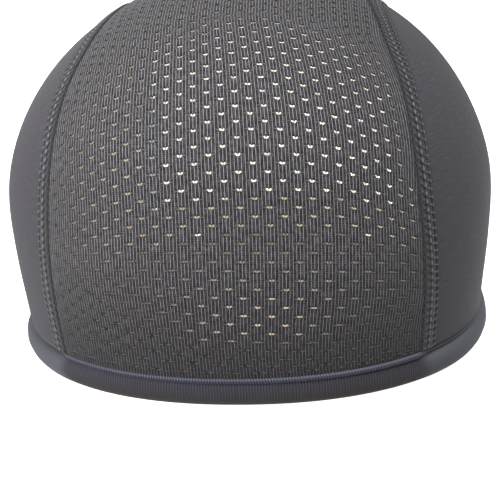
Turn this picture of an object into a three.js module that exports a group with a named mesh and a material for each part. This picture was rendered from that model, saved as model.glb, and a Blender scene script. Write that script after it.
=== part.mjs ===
// Helmet liner cap: a close skull cap of stretch knit, in the form that it has when it is worn.
// A perforated crown panel runs from the near hem over the top to the far hem. A side panel closes
// each side and a flat overlocked seam joins it to the crown panel. A rolled piping and a folded band
// edge the mouth. Millimetres, +Z up. The cap stands on its band at z = 0, and -Y is the near end.
import * as THREE from "three";

// The cap's outer form
const HALF_WIDTH = 79; // middle to the widest point of a side
const NEAR_LENGTH = 76; // crown's top to the widest point of the near end, along Y
const FAR_LENGTH = 114; // the same for the far end
const HEIGHT = 118; // floor to the top of the crown
const PLAN_POWER = 2.155; // 2 is an ellipse seen from above, more is squarer

// Cloth and sewing
const CLOTH = 1.2; // wall of the knit panels
const GAP = 0.3; // between pieces that are sewn edge to edge
const SEAM_WIDTH = 6.8;
const SEAM_RISE = 0.45; // how far the flat seam stands out of the panels
const SEAM_DROP = 0.3; // the same on the inside
const SEAM_AT_HEM = 0.718 * HALF_WIDTH; // middle to a seam's centre line, just above the hem
const SEAM_AT_CROWN = 0.538 * HALF_WIDTH; // the same over the top
const BAND_HEIGHT = 8.6;
const BAND_OUT = 1.4; // how far the hem band stands out of the panels
const BAND_IN = 0.8; // the same on the inside
const PIPING_HEIGHT = 1.6; // the rolled edge between the band and the panels
const PIPING_OUT = 1.2;
const PIPING_IN = 0.4;

// Fineness of the facets
const TURN_STEPS = 44; // along a panel, from the near hem to the far hem
const CROSS_STEPS = 14; // across the crown panel
const SIDE_STEPS = 9; // from a seam down to the middle of the side's hem
const RING_STEPS = 80; // round the hem

// The dome is a half ellipsoid made fuller or slimmer with height. A row holds its height as a share
// of HEIGHT, and the fullness of the half ellipse towards a side, the near end and the far end.
const SECTIONS = [
  { height: 0.0, side: 0.963, near: 0.868, far: 0.915 },
  { height: 0.12, side: 0.972, near: 0.948, far: 0.965 },
  { height: 0.3, side: 1.04, near: 1.035, far: 1.044 },
  { height: 0.5, side: 1.142, near: 1.153, far: 1.139 },
  { height: 0.7, side: 1.214, near: 1.318, far: 1.255 },
  { height: 0.88, side: 1.271, near: 1.398, far: 1.31 },
  { height: 1.0, side: 1.301, near: 1.36, far: 1.33 },
];

// Where a seam runs. turn is the share of the way from the near hem to the far hem, and reach the
// share of the way out from SEAM_AT_CROWN to SEAM_AT_HEM.
const SEAM_ROUTE = [
  { turn: 0.0, reach: 1.0 },
  { turn: 0.17, reach: 1.06 },
  { turn: 0.33, reach: 0.72 },
  { turn: 0.43, reach: 0.25 },
  { turn: 0.53, reach: 0.0 },
  { turn: 0.65, reach: 0.12 },
  { turn: 0.82, reach: 0.5 },
  { turn: 1.0, reach: 0.6 },
];

// The hem band's section, from the floor up its outer face and down its inner face: height as a share
// of BAND_HEIGHT, out as a share of BAND_OUT, and in as a share of BAND_IN.
const BAND_SECTION = [
  { height: 0.0, out: -0.1 },
  { height: 0.06, out: 0.35 },
  { height: 0.2, out: 0.75 },
  { height: 0.45, out: 1.0 },
  { height: 0.75, out: 0.95 },
  { height: 0.94, out: 0.65 },
  { height: 1.0, out: 0.1 },
  { height: 1.0, in: 0.1 },
  { height: 0.88, in: 0.8 },
  { height: 0.5, in: 1.0 },
  { height: 0.12, in: 0.85 },
  { height: 0.0, in: 0.4 },
];

// The same for the piping.
const PIPING_SECTION = [
  { height: 0.0, out: 0.1 },
  { height: 0.2, out: 0.8 },
  { height: 0.5, out: 1.0 },
  { height: 0.8, out: 0.8 },
  { height: 1.0, out: 0.1 },
  { height: 1.0, in: 0.0 },
  { height: 0.5, in: 1.0 },
  { height: 0.0, in: 0.0 },
];

// The seam's section, a flat strip with eased edges: past as a share of half SEAM_WIDTH, rise as a
// share of SEAM_RISE, and drop as a share of SEAM_DROP.
const SEAM_SECTION = [
  { past: -1.0, rise: 0.0 },
  { past: -0.8, rise: 1.0 },
  { past: 0.0, rise: 1.0 },
  { past: 0.8, rise: 1.0 },
  { past: 1.0, rise: 0.0 },
  { past: 1.0, drop: 0.0 },
  { past: 0.8, drop: 1.0 },
  { past: -0.8, drop: 1.0 },
  { past: -1.0, drop: 0.0 },
];

const CROWN_Y = (NEAR_LENGTH - FAR_LENGTH) / 2; // sets the origin midway between the ends
const BISECTIONS = 26;
const SLOPE_STEP = 0.05;
const MEETING = 0.001; // points nearer than this are one
const KNIT_GREY = 0x3b3a3e;
const MESH_GREY = 0x47464a;
const THREAD_GREY = 0x333236;

// A smooth curve through one column of a table, read at a share of the way along its first column.
function readTable(table, key, column, share) {
  const last = table.length - 1;
  let i = 0;
  while (i < last - 1 && share > table[i + 1][key]) i += 1;
  const slope = (k) => {
    const a = table[Math.max(k - 1, 0)];
    const b = table[Math.min(k + 1, last)];
    return (b[column] - a[column]) / (b[key] - a[key]);
  };
  const width = table[i + 1][key] - table[i][key];
  const u = (share - table[i][key]) / width;
  const rise = table[i + 1][column] - table[i][column];
  const start = slope(i) * width - rise;
  const end = rise - slope(i + 1) * width;
  return table[i][column] + u * rise + u * (1 - u) * (start * (1 - u) + end * u);
}

// The dome's half size at a height, towards "side", "near" or "far".
function halfSize(toward, z) {
  const size = { side: HALF_WIDTH, near: NEAR_LENGTH, far: FAR_LENGTH }[toward];
  const share = THREE.MathUtils.clamp(z / HEIGHT, 0, 1);
  return size * readTable(SECTIONS, "height", toward, share) * Math.sqrt(Math.max(1 - share * share, 1e-9));
}

// Below 1 inside the dome's outer face and above 1 outside it.
function fill(point) {
  const y = point.y - CROWN_Y;
  const across = Math.abs(point.x) / halfSize("side", point.z);
  const along = Math.abs(y) / halfSize(y < 0 ? "near" : "far", point.z);
  return point.z >= HEIGHT ? Infinity : across ** PLAN_POWER + along ** PLAN_POWER;
}

function bisect(low, high, isBelow) {
  for (let i = 0; i < BISECTIONS; i += 1) {
    const middle = (low + high) / 2;
    if (isBelow(middle)) low = middle;
    else high = middle;
  }
  return (low + high) / 2;
}

const PANEL_HEM = BAND_HEIGHT + GAP + PIPING_HEIGHT + GAP;
const CENTRE = new THREE.Vector3(0, CROWN_Y, PANEL_HEM);

// A point of the panels' outer face. turn goes from 0 at the near hem over the top to PI at the far
// hem, and lean from 0 on the middle line to PI / 2 at the middle of a side's hem.
function skin(turn, lean) {
  const ray = new THREE.Vector3(
    Math.sin(lean),
    -Math.cos(lean) * Math.cos(turn),
    Math.cos(lean) * Math.sin(turn),
  );
  const reach = bisect(0, 2 * FAR_LENGTH, (r) => fill(CENTRE.clone().addScaledVector(ray, r)) < 1);
  return CENTRE.clone().addScaledVector(ray, reach);
}

// The way straight out of the cloth at a point of its face.
function outward(point) {
  const low = point.clone().setZ(Math.min(point.z, HEIGHT - 2 * SLOPE_STEP));
  const slope = (axis) => {
    const ahead = low.clone();
    const behind = low.clone();
    ahead[axis] += SLOPE_STEP;
    behind[axis] -= SLOPE_STEP;
    return fill(ahead) - fill(behind);
  };
  return new THREE.Vector3(slope("x"), slope("y"), slope("z")).normalize();
}

// The lean at which the skin lies a distance past a seam's centre line, measured along the cloth.
function seamLean(turn, past) {
  const reach = readTable(SEAM_ROUTE, "turn", "reach", turn / Math.PI);
  const middle = THREE.MathUtils.lerp(SEAM_AT_CROWN, SEAM_AT_HEM, reach);
  const leanOf = (x) => bisect(0, Math.PI / 2, (lean) => skin(turn, lean).x < x);
  const facing = outward(skin(turn, leanOf(middle)));
  return leanOf(middle + past * Math.sqrt(1 - facing.x ** 2));
}

// One closed body from a list of triangles, each a list of three points. Points that meet are
// joined, and triangles without area are dropped.
function bodyOf(triangles) {
  const found = new Map();
  const positions = [];
  const index = [];
  const numberOf = (p) => {
    const name = [p.x, p.y, p.z].map((v) => Math.round(v / MEETING)).join();
    if (!found.has(name)) {
      found.set(name, found.size);
      positions.push(p.x, p.y, p.z);
    }
    return found.get(name);
  };
  for (const triangle of triangles) {
    const [a, b, c] = triangle.map(numberOf);
    if (a !== b && b !== c && c !== a) index.push(a, b, c);
  }
  const geometry = new THREE.BufferGeometry();
  geometry.setAttribute("position", new THREE.Float32BufferAttribute(positions, 3));
  geometry.setIndex(index);
  geometry.computeVertexNormals();
  return geometry;
}

// The quads of a grid of points as triangles. closed joins the last row to the first.
function gridTriangles(grid, closed = false) {
  const triangles = [];
  const rows = closed ? grid.length : grid.length - 1;
  for (let i = 0; i < rows; i += 1) {
    const here = grid[i];
    const next = grid[(i + 1) % grid.length];
    for (let j = 0; j < here.length - 1; j += 1) {
      triangles.push([here[j], here[j + 1], next[j + 1]], [here[j], next[j + 1], next[j]]);
    }
  }
  return triangles;
}

function turnedOver(triangles) {
  return triangles.map(([a, b, c]) => [a, c, b]);
}

// A sheet of cloth with its outer face through a grid of points, and a wall all round it.
function sheetOf(points, wall) {
  const inner = points.map((row) => row.map((p) => p.clone().addScaledVector(outward(p), -wall)));
  const ends = [0, points.length - 1];
  const sides = [0, points[0].length - 1];
  const walls = [
    ...ends.map((i) => [points[i], inner[i]]),
    ...sides.map((j) => [points.map((row) => row[j]), inner.map((row) => row[j])]),
  ];
  const [start, end, left, right] = walls.map((wallRows) => gridTriangles(wallRows));
  return [
    ...gridTriangles(points),
    ...turnedOver(gridTriangles(inner)),
    ...turnedOver(start),
    ...end,
    ...left,
    ...turnedOver(right),
  ];
}

// A ring or strip whose every row is one whole section, open at both ends unless closed.
function sweptOf(sections, closed) {
  const looped = sections.map((section) => [...section, section[0]]);
  const triangles = gridTriangles(looped, closed);
  if (closed) return triangles;
  const endOf = (section) => section.slice(1, -1).map((p, i) => [section[0], p, section[i + 2]]);
  return [...triangles, ...turnedOver(endOf(sections[0])), ...endOf(sections.at(-1))];
}

function turns() {
  return Array.from({ length: TURN_STEPS + 1 }, (_, i) => (Math.PI * i) / TURN_STEPS);
}

function mirrored(triangles) {
  const flipped = (p) => new THREE.Vector3(-p.x, p.y, p.z);
  return triangles.map(([a, b, c]) => [flipped(a), flipped(c), flipped(b)]);
}

function crownPanel() {
  const edge = -(SEAM_WIDTH / 2 + GAP);
  return sheetOf(
    turns().map((turn) => {
      const lean = seamLean(turn, edge);
      const shares = Array.from({ length: CROSS_STEPS + 1 }, (_, j) => (2 * j) / CROSS_STEPS - 1);
      return shares.map((share) => skin(turn, lean * share));
    }),
    CLOTH,
  );
}

// The right side's panel: from the seam to the middle of its hem, where the rows meet.
function sidePanel() {
  const edge = SEAM_WIDTH / 2 + GAP;
  return sheetOf(
    turns().map((turn) => {
      const lean = seamLean(turn, edge);
      const shares = Array.from({ length: SIDE_STEPS + 1 }, (_, j) => j / SIDE_STEPS);
      return shares.map((share) => skin(turn, THREE.MathUtils.lerp(lean, Math.PI / 2, share)));
    }),
    CLOTH,
  );
}

// The right side's seam.
function seamStrip() {
  const heightOf = (row) => (row.drop === undefined ? row.rise * SEAM_RISE : -CLOTH - row.drop * SEAM_DROP);
  const sections = turns().map((turn) =>
    SEAM_SECTION.map((row) => {
      const point = skin(turn, seamLean(turn, (row.past * SEAM_WIDTH) / 2));
      return point.addScaledVector(outward(point), heightOf(row));
    }),
  );
  return sweptOf(sections, false);
}

// A ring round the mouth with a section from one of the tables above, standing at a height.
function ring(table, floor, { height, out, inward }) {
  const section = table.map((row) => ({
    z: floor + row.height * height,
    past: row.out === undefined ? -CLOTH - row.in * inward : row.out * out,
  }));
  const rows = Array.from({ length: RING_STEPS }, (_, i) => {
    const angle = (-2 * Math.PI * i) / RING_STEPS;
    const share = (value) => Math.sign(value) * Math.abs(value) ** (2 / PLAN_POWER);
    return section.map(({ z, past }) => {
      const x = halfSize("side", z) * share(Math.sin(angle));
      const y = halfSize(Math.cos(angle) > 0 ? "near" : "far", z) * -share(Math.cos(angle));
      const point = new THREE.Vector3(x, CROWN_Y + y, z);
      return point.addScaledVector(outward(point).setZ(0).normalize(), past);
    });
  });
  return sweptOf(rows, true);
}

function hemBand() {
  return ring(BAND_SECTION, 0, { height: BAND_HEIGHT, out: BAND_OUT, inward: BAND_IN });
}

function hemPiping() {
  const size = { height: PIPING_HEIGHT, out: PIPING_OUT, inward: PIPING_IN };
  return ring(PIPING_SECTION, BAND_HEIGHT + GAP, size);
}

function cloth(color) {
  return new THREE.MeshStandardMaterial({ color, roughness: 0.9, metalness: 0 });
}

function piece(name, triangles, color) {
  const mesh = new THREE.Mesh(bodyOf(triangles), cloth(color));
  mesh.name = name;
  return mesh;
}

const cap = new THREE.Group();
const side = sidePanel();
const seam = seamStrip();
cap.add(
  piece("crown_panel", crownPanel(), MESH_GREY),
  piece("side_panel_right", side, KNIT_GREY),
  piece("side_panel_left", mirrored(side), KNIT_GREY),
  piece("seam_right", seam, THREAD_GREY),
  piece("seam_left", mirrored(seam), THREAD_GREY),
  piece("hem_piping", hemPiping(), THREAD_GREY),
  piece("hem_band", hemBand(), KNIT_GREY),
);

export default cap;
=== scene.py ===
"""Helmet liner cap: the looks of every piece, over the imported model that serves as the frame.

Lengths are millimetres in the cap's own frame, +Z up and -Y at the near end, and become metres where
a mesh, a lamp or the camera is made.
"""

import logging
import math
from dataclasses import dataclass, field
from enum import Enum
from typing import Any, Callable, Sequence

import bpy
import numpy as np
from mathutils import Matrix, Vector


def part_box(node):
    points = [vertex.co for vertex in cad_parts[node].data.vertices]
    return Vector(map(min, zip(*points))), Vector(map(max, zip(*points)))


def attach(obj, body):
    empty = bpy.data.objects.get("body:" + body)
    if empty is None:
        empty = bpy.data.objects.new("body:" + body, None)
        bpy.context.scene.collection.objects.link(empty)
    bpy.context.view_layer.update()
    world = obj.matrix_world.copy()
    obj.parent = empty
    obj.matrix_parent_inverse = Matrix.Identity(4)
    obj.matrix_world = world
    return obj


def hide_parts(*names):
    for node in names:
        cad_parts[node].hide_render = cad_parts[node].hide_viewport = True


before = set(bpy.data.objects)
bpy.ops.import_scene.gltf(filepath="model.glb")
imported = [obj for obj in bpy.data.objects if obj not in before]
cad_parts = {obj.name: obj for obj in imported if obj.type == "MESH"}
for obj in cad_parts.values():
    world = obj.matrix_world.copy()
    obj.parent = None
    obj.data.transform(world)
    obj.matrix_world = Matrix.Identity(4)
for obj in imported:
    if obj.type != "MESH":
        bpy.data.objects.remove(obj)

LOG = logging.getLogger("cap")
MM = 0.001
FULL_TURN = 2 * math.pi
HALVINGS = 30
Colour = tuple[float, float, float, float]
Table = dict[str, tuple[float, ...]]


def grey(red: int, green: int, blue: int) -> Colour:
    """Turns a display colour from 0 to 255 into the linear colour that a shader takes."""
    shares = (red / 255, green / 255, blue / 255)
    return (*[v / 12.92 if v <= 0.04045 else ((v + 0.055) / 1.055) ** 2.4 for v in shares], 1.0)


def table(**columns: tuple[float, ...]) -> Any:
    """Returns a dataclass field that holds columns of equal length."""
    return field(default_factory=lambda: columns)


def through(table: Table, key: str, column: str, shares: np.ndarray) -> np.ndarray:
    """Reads a smooth curve through one column of a table.

    Args:
        table: Columns of equal length.
        key: The rising column that the curve runs along.
        column: The column that the curve passes through.
        shares: Where to read it, in the key column's values.

    Returns:
        One value for each share.
    """
    keys, values = np.array(table[key]), np.array(table[column])
    last = len(keys) - 1
    before, after = np.maximum(np.arange(last + 1) - 1, 0), np.minimum(np.arange(last + 1) + 1, last)
    slopes = (values[after] - values[before]) / (keys[after] - keys[before])
    i = np.clip(np.searchsorted(keys, shares) - 1, 0, last - 1)
    width, rise = keys[i + 1] - keys[i], values[i + 1] - values[i]
    u = (shares - keys[i]) / width
    start, end = slopes[i] * width - rise, rise - slopes[i + 1] * width
    return values[i] + u * rise + u * (1 - u) * (start * (1 - u) + end * u)


def unit(vectors: np.ndarray) -> np.ndarray:
    """Scales each vector in the last axis to length 1."""
    return vectors / np.maximum(np.linalg.norm(vectors, axis=-1, keepdims=True), 1e-12)


def bisect(low: np.ndarray, high: np.ndarray, is_below: Callable[[np.ndarray], np.ndarray]) -> np.ndarray:
    """Narrows pairs of limits to the place where a test turns false.

    Args:
        low: Places where the test is true.
        high: Places where it is false.
        is_below: The test.

    Returns:
        The place between each pair where it changes.
    """
    for _ in range(HALVINGS):
        middle = (low + high) / 2
        below = is_below(middle)
        low, high = np.where(below, middle, low), np.where(below, high, middle)
    return (low + high) / 2


def bilinear(values: np.ndarray, row: np.ndarray, column: np.ndarray) -> np.ndarray:
    """Reads a grid of vectors between its rows and columns.

    Args:
        values: The grid, in the shape (rows, columns, 3).
        row: Row numbers, whole or not.
        column: Column numbers in the same shape.

    Returns:
        One vector for each pair of numbers.
    """
    row = np.clip(row, 0, values.shape[0] - 1.001)
    column = np.clip(column, 0, values.shape[1] - 1.001)
    i, j = row.astype(int), column.astype(int)
    f, g = (row - i)[..., None], (column - j)[..., None]
    low = values[i, j] * (1 - g) + values[i, j + 1] * g
    high = values[i + 1, j] * (1 - g) + values[i + 1, j + 1] * g
    return low * (1 - f) + high * f


def distances(points: np.ndarray) -> np.ndarray:
    """Measures how far along its path each point lies.

    Args:
        points: Points in order along the last axis but one.

    Returns:
        The distances from each path's first point.
    """
    steps = np.linalg.norm(np.diff(points, axis=-2), axis=-1)
    return np.concatenate([np.zeros((*steps.shape[:-1], 1)), np.cumsum(steps, axis=-1)], axis=-1)


def border(grid: np.ndarray) -> np.ndarray:
    """Returns the point numbers round the border of a grid, in order."""
    return np.concatenate([grid[0, :-1], grid[:-1, -1], grid[-1, :0:-1], grid[:0:-1, 0]])


def smooth_step(values: np.ndarray, start: float, end: float) -> np.ndarray:
    """Returns 0 up to start, 1 from end on and a smooth rise between them."""
    share = np.clip((values - start) / (end - start), 0, 1)
    return share * share * (3 - 2 * share)


class Toward(Enum):
    """The three ways in which the dome has a half size of its own."""

    SIDE = "side"
    NEAR = "near"
    FAR = "far"


class Side(Enum):
    """The cap's two sides, by the sign of X."""

    RIGHT = 1
    LEFT = -1


class Face(Enum):
    """The two faces of a cloth."""

    OUTER = "outer"
    INNER = "inner"


@dataclass(frozen=True)
class Dome:
    """The outer form that all the cloth lies in, as in the solid model.

    Attributes:
        half_width: Middle to the widest point of a side.
        near_length: Crown's top to the widest point of the near end.
        far_length: The same for the far end.
        height: Floor to the top of the crown.
        crown_y: Where the crown's top lies along Y.
        rim: Height at which the panels end and the hem begins.
        plan_power: How square the plan is, from 2 for an oval.
        near_share: Share of the length that lies on the near side of the crown's top.
        sections: By the share of the height, how much fuller than an oval the dome is in each way.
        probe: Half the distance over which the face's direction is measured.
    """

    half_width: float
    near_length: float
    far_length: float
    height: float
    crown_y: float
    rim: float
    plan_power: float = 2.155
    near_share: float = 0.4
    sections: Table = table(
        height=(0.0, 0.12, 0.3, 0.5, 0.7, 0.88, 1.0),
        side=(0.963, 0.972, 1.04, 1.142, 1.214, 1.271, 1.301),
        near=(0.868, 0.948, 1.035, 1.153, 1.318, 1.398, 1.36),
        far=(0.915, 0.965, 1.044, 1.139, 1.255, 1.31, 1.33),
    )
    probe: float = 0.05

    @classmethod
    def from_frame(cls) -> "Dome":
        """Takes the dome's sizes from the boxes of the solid model's nodes.

        Returns:
            The dome.
        """
        low, high = (np.array(corner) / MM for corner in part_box("crown_panel"))
        side_high = np.array(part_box("side_panel_right")[1]) / MM
        length = high[1] - low[1]
        near = cls.near_share * length
        return cls(side_high[0], near, length - near, high[2], low[1] + near, low[2])

    def half_size(self, toward: Toward, z: np.ndarray) -> np.ndarray:
        """Measures the plan towards a side or an end.

        Args:
            toward: Which way.
            z: Heights above the floor.

        Returns:
            The half size at each height.
        """
        size = {
            Toward.SIDE: self.half_width,
            Toward.NEAR: self.near_length,
            Toward.FAR: self.far_length,
        }[toward]
        share = np.clip(z / self.height, 0, 1)
        fullness = through(self.sections, "height", toward.value, share)
        return size * fullness * np.sqrt(np.maximum(1 - share**2, 1e-9))

    def fill(self, points: np.ndarray) -> np.ndarray:
        """Tells points inside the outer face, below 1, from points outside it, above 1.

        Args:
            points: Points in millimetres.

        Returns:
            One value for each point.
        """
        x, y, z = points[..., 0], points[..., 1] - self.crown_y, points[..., 2]
        along = np.where(y < 0, self.half_size(Toward.NEAR, z), self.half_size(Toward.FAR, z))
        across = np.abs(x) / self.half_size(Toward.SIDE, z)
        inside = across**self.plan_power + (np.abs(y) / along) ** self.plan_power
        return np.where(z >= self.height, np.inf, inside)

    def outward(self, points: np.ndarray) -> np.ndarray:
        """Finds the way straight out of the cloth.

        Args:
            points: Points of the outer face.

        Returns:
            One direction of length 1 for each point.
        """
        low = points.copy()
        low[..., 2] = np.minimum(low[..., 2], self.height - 2 * self.probe)
        steps = self.probe * np.eye(3)
        slopes = [self.fill(low + step) - self.fill(low - step) for step in steps]
        return unit(np.stack(slopes, -1))

    def skin(self, turn: np.ndarray, lean: np.ndarray) -> np.ndarray:
        """Finds points of the outer face.

        Args:
            turn: 0 at the near hem, over the top, to pi at the far hem.
            lean: 0 on the middle line to pi / 2 at the middle of a side's hem, and minus on the left.

        Returns:
            Points in millimetres, in the shape of turn and lean with a last axis of 3.
        """
        turn, lean = np.broadcast_arrays(turn, lean)
        ray = np.stack([np.sin(lean), -np.cos(lean) * np.cos(turn), np.cos(lean) * np.sin(turn)], -1)
        centre = np.array([0, self.crown_y, self.rim])
        limit = np.full(turn.shape, 2 * self.far_length)
        reach = bisect(0 * limit, limit, lambda r: self.fill(centre + ray * r[..., None]) < 1)
        return centre + ray * reach[..., None]

    def outline(self, angle: np.ndarray, z: np.ndarray) -> np.ndarray:
        """Finds points of the outer face at a height.

        Args:
            angle: Angles round the mouth, from the near end.
            z: Heights above the floor.

        Returns:
            One point for each pair.
        """
        angle, z = np.broadcast_arrays(angle, z)
        east, south = np.sin(angle), np.cos(angle)
        power = 2 / self.plan_power
        x = self.half_size(Toward.SIDE, z) * np.sign(east) * np.abs(east) ** power
        along = np.where(south > 0, self.half_size(Toward.NEAR, z), self.half_size(Toward.FAR, z))
        y = self.crown_y - along * np.sign(south) * np.abs(south) ** power
        return np.stack([x, y, z], -1)


@dataclass(frozen=True)
class SeamRoute:
    """Where the two flat seams run over the dome.

    Attributes:
        dome: The form that they lie on.
        at_hem: Middle to a seam's centre line above the hem, as a share of the dome's half width.
        at_crown: The same over the top.
        width: Of the seam.
        route: By the share of the way from hem to hem, the share of the way out from at_crown to at_hem.
    """

    dome: Dome
    at_hem: float = 0.718
    at_crown: float = 0.538
    width: float = 6.8
    route: Table = table(
        turn=(0.0, 0.17, 0.33, 0.43, 0.53, 0.65, 0.82, 1.0),
        reach=(1.0, 1.06, 0.72, 0.25, 0.0, 0.12, 0.5, 0.6),
    )

    def lean(self, turn: np.ndarray, past: float = 0.0) -> np.ndarray:
        """Follows the right seam's centre line, or a line beside it.

        Args:
            turn: 0 at the near hem to pi at the far hem.
            past: Distance from the centre line, outwards.

        Returns:
            The lean at each turn.
        """
        reach = through(self.route, "turn", "reach", turn / math.pi)
        middle = self.dome.half_width * (self.at_crown + (self.at_hem - self.at_crown) * reach)
        centre = self._lean_of(turn, middle)
        facing = self.dome.outward(self.dome.skin(turn, centre))[..., 0]
        return self._lean_of(turn, middle + past * np.sqrt(1 - facing**2))

    def _lean_of(self, turn: np.ndarray, x: np.ndarray) -> np.ndarray:
        """Returns the lean at which the dome's face reaches x."""
        zero = np.zeros_like(turn)
        return bisect(zero, zero + math.pi / 2, lambda lean: self.dome.skin(turn, lean)[..., 0] < x)


@dataclass
class MeshBuilder:
    """Collects points and faces in millimetres and makes one mesh object of them.

    Attributes:
        points: The points, in batches.
        cloth: Their cloth coordinates.
        faces: Triangles of point numbers, in batches.
        count: Points so far.
        meeting: Points nearer than this are one.
    """

    points: list[np.ndarray] = field(default_factory=list)
    cloth: list[np.ndarray] = field(default_factory=list)
    faces: list[np.ndarray] = field(default_factory=list)
    count: int = 0
    meeting: float = 1e-4

    def add_points(self, points: np.ndarray, cloth: np.ndarray) -> np.ndarray:
        """Adds points with their cloth coordinates.

        Args:
            points: Points in any arrangement, with a last axis of 3.
            cloth: Coordinates for each of them, or for all.

        Returns:
            The points' numbers in the same arrangement.
        """
        flat = points.reshape(-1, 3)
        numbers = self.count + np.arange(len(flat))
        self.points.append(flat)
        self.cloth.append(np.broadcast_to(cloth, points.shape).reshape(-1, 3))
        self.count += len(flat)
        return numbers.reshape(points.shape[:-1])

    def add_triangles(
        self, triangles: np.ndarray | Sequence[Sequence[int]], face: Face = Face.OUTER
    ) -> None:
        """Adds triangles of three point numbers each, turned over on an inner face."""
        corners = np.asarray(triangles, dtype=np.int64).reshape(-1, 3)
        self.faces.append(corners if face is Face.OUTER else corners[:, ::-1])

    def add_grid(self, numbers: np.ndarray, loop_rows: bool = False, loop_columns: bool = False) -> None:
        """Joins a grid of points with quads, each as two triangles.

        Args:
            numbers: The points' numbers.
            loop_rows: Joins the last row to the first.
            loop_columns: Joins the last column to the first.
        """
        rows = np.concatenate([numbers, numbers[:1]]) if loop_rows else numbers
        grid = np.concatenate([rows, rows[:, :1]], axis=1) if loop_columns else rows
        a, b, c, d = grid[:-1, :-1], grid[:-1, 1:], grid[1:, 1:], grid[1:, :-1]
        self.add_triangles(np.stack([a, b, c], -1))
        self.add_triangles(np.stack([a, c, d], -1))

    def _merged(self) -> tuple[np.ndarray, np.ndarray, np.ndarray]:
        """Makes one of points that meet, and drops the triangles that this closes up.

        Returns:
            The points, their cloth coordinates and the triangles.
        """
        points, cloth = np.concatenate(self.points), np.concatenate(self.cloth)
        places = np.round(points / self.meeting).astype(np.int64)
        _, first, numbers = np.unique(places, axis=0, return_index=True, return_inverse=True)
        faces = numbers.ravel()[np.concatenate(self.faces)]
        is_open = np.all(faces != np.roll(faces, 1, axis=1), axis=1)
        return points[first], cloth[first], faces[is_open]

    def make(self, name: str, material: bpy.types.Material, side: Side = Side.RIGHT) -> bpy.types.Object:
        """Makes the object, smooth shaded, with its cloth coordinates as the attribute named cloth.

        Args:
            name: The piece's name.
            material: Its only material.
            side: The left side has the points and faces mirrored.

        Returns:
            The object, with its place in its mesh.
        """
        points, cloth, faces = self._merged()
        if side is Side.LEFT:
            points, faces = points * [-1, 1, 1], faces[:, ::-1]
        mesh = bpy.data.meshes.new(name)
        mesh.vertices.add(len(points))
        mesh.vertices.foreach_set("co", (points * MM).ravel())
        mesh.loops.add(faces.size)
        mesh.loops.foreach_set("vertex_index", faces.ravel())
        mesh.polygons.add(len(faces))
        mesh.polygons.foreach_set("loop_start", np.arange(0, faces.size, 3))
        mesh.update(calc_edges=True)
        mesh.validate()
        mesh.polygons.foreach_set("use_smooth", np.ones(len(mesh.polygons), dtype=bool))
        layer = mesh.attributes.new("cloth", "FLOAT_VECTOR", "POINT")
        layer.data.foreach_set("vector", cloth.astype(np.float32).ravel())
        mesh.materials.append(material)
        piece = bpy.data.objects.new(name, mesh)
        bpy.context.scene.collection.objects.link(piece)
        return piece


def add_sheet(
    build: MeshBuilder, outer: np.ndarray, inner: np.ndarray, cloth: np.ndarray, inner_cloth: np.ndarray
) -> None:
    """Adds a closed sheet between two grids of points, with a wall round its edge.

    Args:
        build: Takes the sheet.
        outer: Points of the outer face.
        inner: Points of the inner face, each below one of the outer face's.
        cloth: Cloth coordinates of the outer face.
        inner_cloth: Cloth coordinates of the inner face.
    """
    top, under = build.add_points(outer, cloth), build.add_points(inner, inner_cloth)
    build.add_grid(top)
    build.add_grid(under[:, ::-1])
    build.add_grid(np.stack([border(under), border(top)]), loop_columns=True)


def add_tubes(
    build: MeshBuilder,
    paths: np.ndarray,
    lift: np.ndarray,
    radius: np.ndarray,
    cloth: np.ndarray,
    sides: int = 6,
) -> None:
    """Adds round threads along many paths of the same number of points.

    Args:
        build: Takes the threads.
        paths: Points of the threads' middles, in the shape (threads, points, 3).
        lift: The way out of the cloth at each of them.
        radius: The radius at each of them, in the shape (threads, points).
        cloth: Cloth coordinates at each of them.
        sides: Corners of a thread's section.
    """
    ahead = unit(np.gradient(paths, axis=1))
    across = unit(np.cross(ahead, lift))
    up = np.cross(across, ahead)
    angles = -FULL_TURN * np.arange(sides)[:, None] / sides
    ring = across[:, :, None] * np.cos(angles) + up[:, :, None] * np.sin(angles)
    points = paths[:, :, None] + ring * radius[:, :, None, None]
    numbers = build.add_points(points, np.broadcast_to(cloth[:, :, None], points.shape))
    for thread in numbers:
        build.add_grid(thread, loop_columns=True)
    fan = np.array([[0, i + 1, i] for i in range(1, sides - 1)])
    build.add_triangles(numbers[:, 0][:, fan])
    build.add_triangles(numbers[:, -1][:, fan[:, ::-1]])


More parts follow.
